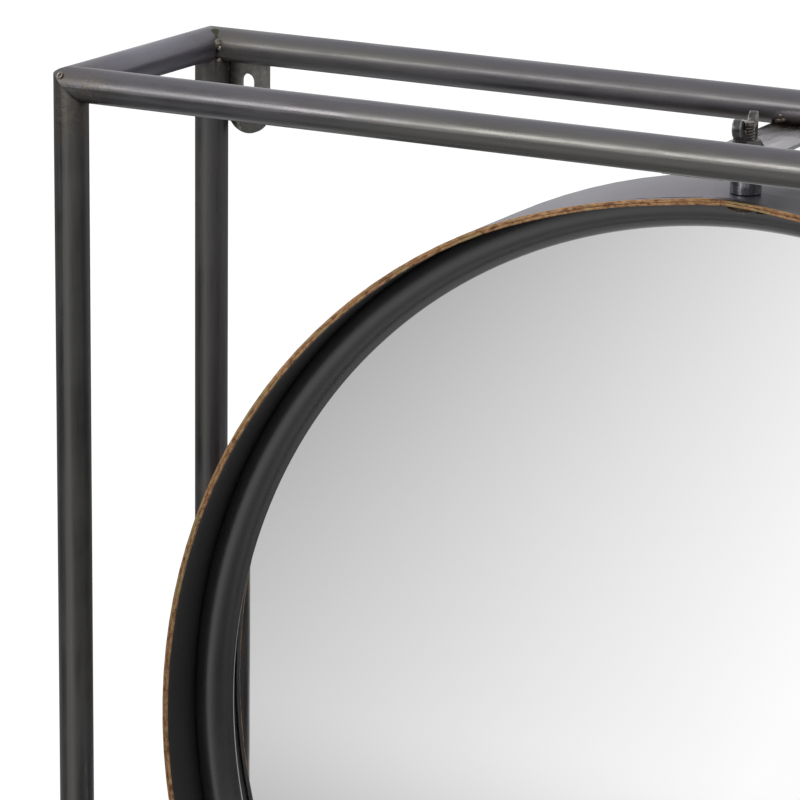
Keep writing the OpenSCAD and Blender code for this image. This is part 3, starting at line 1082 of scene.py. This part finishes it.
wingNut = {
    "turn": 93,                # degrees from the frame's width
    "skirtRadius": 6.0 * mm,
    "neckRadius": 4.4 * mm,
    "neckHeight": 2.8 * mm,
    "neckRound": 0.45 * mm,
    "bore": 2.6 * mm,
    "boreBevel": 0.35 * mm,
    "boreSink": 0.5 * mm,      # how deep the bevel goes, and how far the bore is cut below it
    "boreDeep": 0.6 * mm,
    "earRadius": 3.25 * mm,
    "earOut": 8.6 * mm,
    "earUp": 7.75 * mm,
    "earThick": 3.3 * mm,
    "earRound": 0.55 * mm,
    "waistAt": 0.45,           # along the ear's web, and its size against the ear's
    "waistSize": (0.8, 0.92, 0.8),
    "waistPull": 2 * mm,
    "rootOut": 4.4 * mm,       # where the web meets the boss
    "rootUp": 2.1 * mm,
    "rootPast": 0.4,           # along the web, beyond the waist
    "rootSize": (0.62, 1.05, 0.62),
    "twist": 14,               # each ear's own turn, as cast
    "bends": (8, -4),          # how far the two ears are out of line
}


def makeWing(angle):
    # X runs outwards and Z up until the ear is turned to its place
    out, up = wingNut["earOut"], wingNut["earUp"]
    addCylinder(32, wingNut["earRadius"], wingNut["earThick"], (out, 0, up), lying=True)
    wing = startPiece("wing", smallPart["wornSteel"])
    wing.data.materials.append(smallPart["rubbedEdge"])
    applyPlace()
    middle = Vector((out, 0, up))
    root = Vector((wingNut["rootOut"], 0, wingNut["rootUp"]))
    web = root - middle
    toward = web.normalized()
    choose(wing, 'FACE', lambda face: abs(face.normal.y) < 0.5 and face.normal.dot(toward) > 0.62)
    toWaist = web * wingNut["waistAt"]
    extrudeBy(toWaist)
    waist = middle + toWaist + toward * wingNut["waistPull"]
    bpy.ops.transform.resize(value=wingNut["waistSize"], center_override=waist)
    extrudeBy(web * wingNut["rootPast"])
    bpy.ops.transform.resize(value=wingNut["rootSize"], center_override=root)

    def atFlatSide(edge):
        lean = [abs(face.normal.y) for face in edge.link_faces]
        return len(lean) == 2 and min(lean) < 0.6 and max(lean) > 0.9

    choose(wing, 'EDGE', atFlatSide)
    roundEdges(wingNut["earRound"], material=1)
    endEdit()
    neck = out - wingNut["earRadius"] * 0.55
    choose(wing, 'FACE', lambda face: face.calc_center_median().x > neck)
    bpy.ops.transform.rotate(value=-math.radians(wingNut["twist"]), orient_axis='Z', center_override=middle)
    endEdit()
    turn = Matrix.Rotation(math.radians(angle), 4, 'Z')
    wing.matrix_world = Matrix.Translation((0, pivotY, washerTop)) @ turn
    settle(35)
    return wing


def makeWingNut():
    tall, neck, skirt = wingNut["neckHeight"], wingNut["neckRadius"], wingNut["skirtRadius"]
    addCylinder(48, skirt, tall, (0, pivotY, washerTop + tall / 2))
    boss = startPiece("boss", smallPart["wornSteel"])
    chooseTop(boss)
    bpy.ops.transform.resize(value=(neck / skirt, neck / skirt, 1))
    bpy.ops.mesh.inset(thickness=neck - wingNut["bore"] - wingNut["boreBevel"])
    bpy.ops.mesh.inset(thickness=wingNut["boreBevel"], depth=-wingNut["boreSink"])
    extrudeBy((0, 0, -wingNut["boreDeep"]))
    choose(boss, 'EDGE', lambda edge: edge.calc_face_angle(0) > 0.5
           and (edge.verts[0].co - edge.verts[1].co).z == 0
           and max(vert.co.xy.length for vert in edge.verts) > neck * 0.98)
    roundEdges(wingNut["neckRound"])
    settle(40)
    wings = [makeWing(wingNut["turn"] + side + bend) for side, bend in zip((0, 180), wingNut["bends"])]
    return joinPieces([boss] + wings, "wingNutTop")


# pivot bolts: low round head, cut thread on the free end
pivotBolt = {
    "radius": 2.5 * mm,
    "root": 2.08 * mm,
    "pitch": 1.06 * mm,
    "crest": (0.4, 0.6),       # where the crest lies within each pitch
    "headEdge": 0.5 * mm,
    "headGap": 0.12 * mm,      # from the head to the drum's inner side
    "dome": 2.2 * mm,
    "domeRings": 7,
    "threadFrom": 2 * mm,      # over the wing nut's foot
    "threadLap": 0.2 * mm,     # how far the plain shank runs into the thread
    "threadShort": 0.5 * mm,   # of the bolt's end
    "tip": 1.1 * mm,
    "tipWider": 0.12 * mm,     # than the thread's root
    "tipRound": 0.35 * mm,
}


def makeThread(bottomZ, topZ):
    pitch, crest, root = pivotBolt["pitch"], pivotBolt["radius"], pivotBolt["root"]
    bpy.ops.mesh.primitive_plane_add(size=1, location=(0, 0, 0))
    thread = startPiece("thread", smallPart["rustyThread"])
    startEdit()
    bpy.ops.mesh.delete(type='ONLY_FACE')
    endEdit()
    corners = sorted(thread.data.vertices, key=lambda corner: (corner.co.x, corner.co.y))
    crestFrom, crestTo = pivotBolt["crest"]
    profile = ((root, 0), (root, pitch), (crest, crestFrom * pitch), (crest, crestTo * pitch))
    for corner, (out, up) in zip(corners, profile):
        corner.co = (out, 0, up)
    choose(thread, 'EDGE', lambda edge: all(vert.co.x < (root + crest) / 2 for vert in edge.verts))
    bpy.ops.mesh.delete(type='EDGE')
    endEdit()
    wind = thread.modifiers.new("wind", 'SCREW')
    wind.axis = 'Z'
    wind.screw_offset = pitch
    wind.iterations = math.ceil((topZ - bottomZ) / pitch) + 2
    wind.steps = wind.render_steps = 32
    wind.use_merge_vertices = True
    wind.merge_threshold = 0.002 * mm
    applyModifiers(thread)
    thread.location = (0, pivotY, bottomZ - pitch)
    bpy.ops.object.transform_apply(location=True)
    startEdit()
    bpy.ops.mesh.remove_doubles(threshold=0.004 * mm)
    bpy.ops.mesh.bisect(plane_co=(0, pivotY, bottomZ), plane_no=(0, 0, 1), use_fill=True, clear_inner=True)
    bpy.ops.mesh.select_all(action='SELECT')
    bpy.ops.mesh.bisect(plane_co=(0, pivotY, topZ), plane_no=(0, 0, 1), use_fill=True, clear_outer=True)
    endEdit()
    settle(40)
    return thread


def makeBoltHead():
    seatZ = boltLow.z      # lowest point of the dome
    headHigh = drumZ + bezelRadius + pivotBolt["headGap"]
    dome, rings = pivotBolt["dome"], pivotBolt["domeRings"]
    straight = headHigh - seatZ - dome
    addCylinder(64, headRadius, straight, (0, pivotY, seatZ + dome + straight / 2))
    bolt = startPiece("bolt", smallPart["headSteel"])
    choose(bolt, 'FACE', lambda face: face.normal.z < -0.9)
    sphere = (headRadius ** 2 + dome ** 2) / (2 * dome)
    reach = math.asin(headRadius / sphere)
    radius, drop = headRadius, 0
    for step in range(1, rings):
        angle = reach * (1 - step / rings)
        nextRadius = sphere * math.sin(angle)
        nextDrop = sphere * math.cos(angle) - (sphere - dome)
        extrudeBy((0, 0, drop - nextDrop))
        bpy.ops.transform.resize(value=(nextRadius / radius, nextRadius / radius, 1))
        radius, drop = nextRadius, nextDrop
    bpy.ops.mesh.poke()
    chooseTop(bolt)
    bpy.ops.mesh.inset(thickness=headRadius - pivotBolt["radius"])
    extrudeBy((0, 0, nutFoot + pivotBolt["threadFrom"] + pivotBolt["threadLap"] - headHigh))
    choose(bolt, 'EDGE', lambda edge: edge.calc_face_angle(0) > 0.9
           and abs(edge.verts[0].co.z - edge.verts[1].co.z) < 1e-7
           and edge.verts[0].co.xy.length > headRadius * 0.98)
    roundEdges(pivotBolt["headEdge"])
    settle(40)
    return bolt


def makePivotBolt():
    bolt = makeBoltHead()
    thread = makeThread(nutFoot + pivotBolt["threadFrom"], boltHigh.z - pivotBolt["threadShort"])
    tall = pivotBolt["tip"]
    addCylinder(48, pivotBolt["root"] + pivotBolt["tipWider"], tall, (0, pivotY, boltHigh.z - tall / 2))
    tip = startPiece("tip", smallPart["rubbedEdge"])
    chooseTop(tip)
    roundEdges(pivotBolt["tipRound"])
    settle(40)
    return joinPieces([bolt, thread, tip], "pivotBoltTop")


nutTop = makeWingNut()
nutBottom = flipDown(nutTop, "wingNutBottom")
boltTop = makePivotBolt()
boltBottom = flipDown(boltTop, "pivotBoltBottom")
for piece, nodeName, body in (
    (nutTop, "upper_wing_nut", "upper_nut"),
    (nutBottom, "lower_wing_nut", "lower_nut"),
    (boltTop, "upper_pivot_bolt", "mirror_drum"),
    (boltBottom, "lower_pivot_bolt", "mirror_drum"),
):
    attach(piece, body)
    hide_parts(nodeName)
print("wing nuts and pivot bolts made")


# weld beads: crumbs in the corners, runs at the straps, tacks on the hangers
welds = {
    # way inwards from a corner's middle along X, Y and Z, in tube radii, then width and thickness in mm:
    # a ground flat by the top of the inner crease, and crumbs in the hollow below it
    "corner": (
        ((0.68, 0.68, 0.68), 3.3, 1.6, "groundFlat"),
        ((1.0, 0.98, 0.22), 2.5, 2.6, "weldMetal"),
        ((1.1, 1.0, -0.02), 1.3, 2.4, "brightWeld"),
        ((0.86, 0.6, -0.84), 1.3, 1.6, "brightWeld"),
    ),
    "pitAt": (0.2, -0.87, 0.6),          # on the front corners a burnt pit with a raised rim
    "pitRadius": 1.05 * mm,
    "pitRim": 0.36 * mm,
    "strapAt": 0.6,                      # a run over each corner of each strap, up the rail's face
    "strapFrom": -2.1 * mm,
    "strapStep": 0.7 * mm,
    "strapBeads": 5,
    "strapBead": (0.9 * mm, 1.4 * mm),
    "strapLift": 0.4 * mm,               # each bead's height over the strap's top, in a climbing zigzag
    "strapClimb": 0.7 * mm,
    "strapWaver": 0.6 * mm,
    "hangerShares": (0.12, 0.42, 0.86),  # along the hanger's upper edge
    "hangerDrops": (7 * mm, 10.5 * mm, 14 * mm),     # and below the rail's middle, down its side
    "hangerTopBead": (1.5 * mm, 0.8 * mm, 0.5 * mm),
    "hangerSideBead": (0.9 * mm, 1.7 * mm, 0.6 * mm),
}


def makeBead():
    bpy.ops.mesh.primitive_ico_sphere_add(subdivisions=3, radius=1, location=(0, 0, 0))
    bead = startPiece("bead", smallPart["weldMetal"])
    startEdit()
    bpy.ops.transform.vertex_random(offset=0.05, seed=3)
    bpy.ops.mesh.vertices_smooth(factor=0.5, repeat=2)
    endEdit()
    bpy.ops.object.shade_smooth()
    return bead


def setBead(model, place, lie, size, name):
    # place and size in metres, lie is the direction the flat bead faces
    bead = copyOf(model, name)
    turn = Vector(lie).normalized().to_track_quat('Z', 'Y').to_matrix().to_4x4()
    spin = Matrix.Rotation(chance.uniform(0, 6.28), 4, 'Z')
    bead.matrix_world = Matrix.Translation(place) @ turn @ Matrix.Diagonal((*size, 1)) @ spin
    applyPlace()
    return bead


def makePit(place, lie):
    turn = Vector(lie).normalized().to_track_quat('Z', 'Y').to_euler()
    bpy.ops.object.select_all(action='DESELECT')
    bpy.ops.mesh.primitive_torus_add(major_radius=welds["pitRadius"], minor_radius=welds["pitRim"],
                                     major_segments=28, minor_segments=10, location=place, rotation=turn)
    pit = startPiece("pit", smallPart["brightWeld"])
    startEdit()
    bpy.ops.transform.vertex_random(offset=0.06 * mm, seed=5)
    bpy.ops.mesh.vertices_smooth(factor=0.5, repeat=1)
    settle(180)
    return pit


def makeCornerWelds(model):
    beads = []
    for sideX, sideY, sideZ in product((-1, 1), repeat=3):
        corner = Vector((sideX * postX, midY + sideY * halfDepth, drumZ + sideZ * halfHeight))
        for (x, y, z), across, thick, finish in welds["corner"]:
            inward = Vector((-sideX * x, -sideY * y, sideZ * z))
            size = across * mm * chance.uniform(0.9, 1.1)
            bead = setBead(model, corner + inward * tubeRadius, inward,
                           (size, size * 0.75, thick * mm * 0.6), "cornerBead")
            bead.data.materials[0] = smallPart[finish]
            beads.append(bead)
        if sideY < 0:
            x, y, z = welds["pitAt"]
            outward = Vector((sideX * x, y, sideZ * z))
            beads.append(makePit(corner + outward * tubeRadius * 0.98, outward))
    return joinPieces(beads, "cornerWelds")


def makeStrapWelds(model):
    beads = []
    half = (strapHigh.x - strapLow.x) / 2
    foot = strapHigh.z - topZ
    for sideZ, sideY, sideX in product((-1, 1), repeat=3):
        start = half * sideX * welds["strapAt"] + welds["strapFrom"]
        for step in range(welds["strapBeads"]):
            climb = welds["strapClimb"] * step * (step % 2 + 0.4)
            lift = foot + welds["strapLift"] + climb + chance.uniform(0, welds["strapWaver"])
            run = math.sqrt(tubeRadius ** 2 - lift ** 2)
            spot = (start + step * welds["strapStep"], midY + sideY * (halfDepth - run),
                    drumZ + sideZ * (halfHeight + lift))
            size = chance.uniform(*welds["strapBead"])
            beads.append(setBead(model, spot, (0, -sideY * run, sideZ * lift),
                                 (size, size * 0.8, size * 0.5), "strapBead"))
    return joinPieces(beads, "strapWelds")


def makeHangerWelds(model):
    beads = []
    front = plateLow.y
    railDrop = math.sqrt(max(tubeRadius ** 2 - (tubeRadius + front) ** 2, 0))
    for side in (-1, 1):
        inner, outer = plateLow.x * side, plateHigh.x * side
        for share in welds["hangerShares"]:
            place = (inner + (outer - inner) * share, front, topZ - railDrop - 0.3 * mm)
            beads.append(setBead(model, place, (0, -1, -0.6), welds["hangerTopBead"], "plateBead"))
        for drop in welds["hangerDrops"]:
            place = (outer, front + 0.2 * mm, topZ - drop)
            beads.append(setBead(model, place, (-side, -1, 0), welds["hangerSideBead"], "plateBead"))
    return joinPieces(beads, "hangerWelds")


beadModel = makeBead()
for weld in (makeCornerWelds(beadModel), makeStrapWelds(beadModel), makeHangerWelds(beadModel)):
    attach(weld, "wall_frame")
bpy.data.objects.remove(beadModel)
print("weld beads set")
